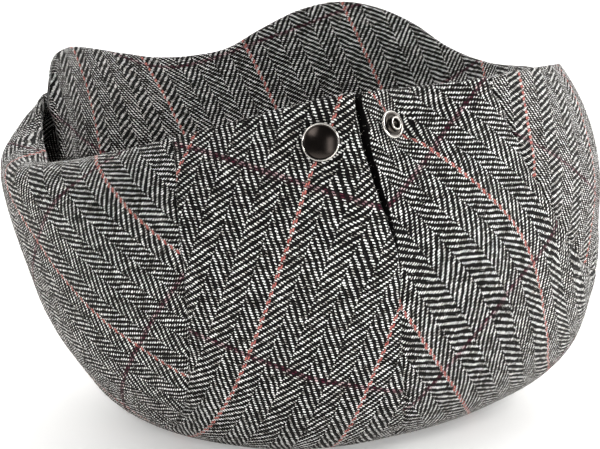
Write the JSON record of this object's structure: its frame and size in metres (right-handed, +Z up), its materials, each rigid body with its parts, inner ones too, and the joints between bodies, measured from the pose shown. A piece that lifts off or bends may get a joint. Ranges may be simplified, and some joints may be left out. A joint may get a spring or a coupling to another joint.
{
  "type": "flat cap",
  "caption": "Soft unlined herringbone wool flat cap lying upside down on its crown, peak underside up, size snap at the back of the crown left open.",
  "frame": {"origin": "on the floor, under the middle of the crown the cap rests on", "axes": "+Z up, away from the floor; +Y from the back of the cap with the slit to the front with the peak; +X to the right as seen from behind"},
  "size_m": [0.2203, 0.2268, 0.1323],
  "materials": {
    "wool": "brushed herringbone twill with a thin overcheck",
    "dark_nickel": "polished black nickel",
    "bright_nickel": "polished nickel"
  },
  "bodies": {
    "root": {"side_panel_left": "wool", "back_panel_left": "wool", "back_panel_right": "wool", "side_panel_right": "wool", "peak": "wool", "snap_cap": "dark_nickel", "snap_socket": "bright_nickel", "snap_stud": "bright_nickel", "snap_eyelet": "bright_nickel"}
  },
  "joints": []
}
